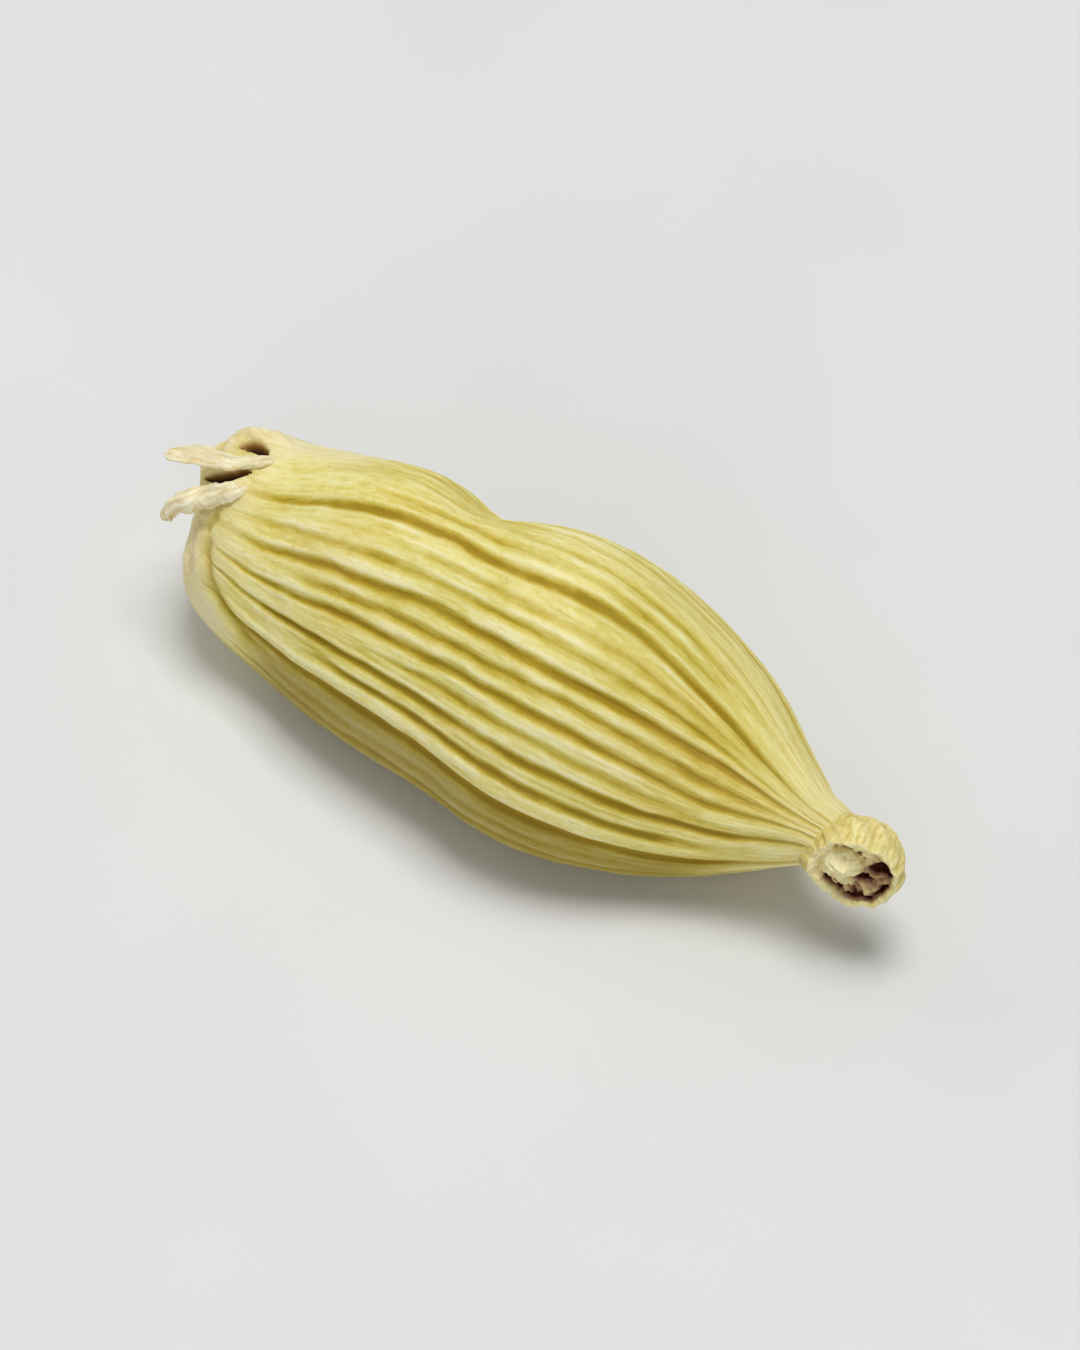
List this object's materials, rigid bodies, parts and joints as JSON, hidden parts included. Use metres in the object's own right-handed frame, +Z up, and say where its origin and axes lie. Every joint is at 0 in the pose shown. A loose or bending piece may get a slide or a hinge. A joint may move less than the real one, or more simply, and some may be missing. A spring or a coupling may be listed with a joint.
{
  "type": "green cardamom pod",
  "caption": "Dried green cardamom pod: a three-sided ribbed seed capsule, blunt and papery at one end, tapering to a small open collar at the other, lying on its flattened side",
  "frame": {"origin": "middle of the pod's footprint, on the plane that it rests on", "axes": "+X along the pod towards its narrow collar end, +Z up from the side that it rests on"},
  "size_m": [0.0198, 0.0074, 0.0071],
  "materials": {
    "dry_green_husk": "matte"
  },
  "bodies": {
    "root": {"cardamom_pod": "dry_green_husk"}
  },
  "joints": []
}
